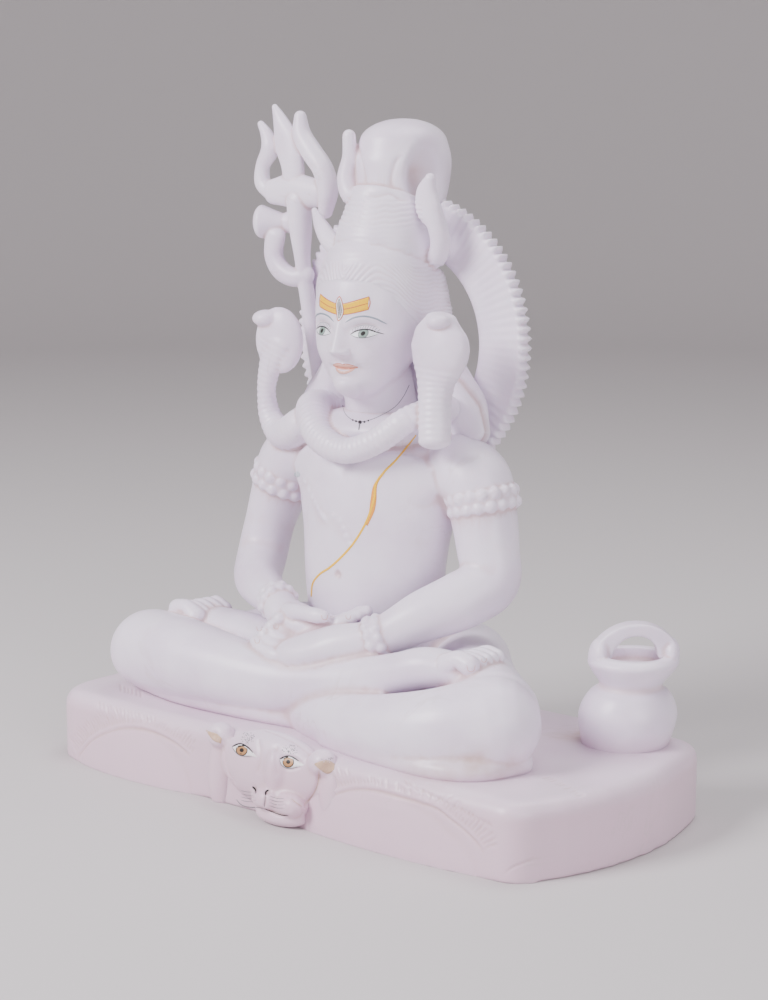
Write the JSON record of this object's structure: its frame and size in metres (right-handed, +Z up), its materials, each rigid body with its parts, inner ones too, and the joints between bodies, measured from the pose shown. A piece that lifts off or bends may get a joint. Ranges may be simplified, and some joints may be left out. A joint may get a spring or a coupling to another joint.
{
  "type": "shiva statue",
  "caption": "White marble figure of Shiva seated cross-legged on a rock, with halo, trident, neck cobras, tiger skin and water pot.",
  "frame": {"origin": "on the flat underside of the rock, below the figure's upright axis", "axes": "+Z up, -Y the way the figure faces, +X towards the figure's left hand and the water pot"},
  "size_m": [0.6002, 0.2822, 0.6116],
  "materials": {
    "marble": "satin"
  },
  "bodies": {
    "root": {"shiva_statue": "marble"}
  },
  "joints": []
}
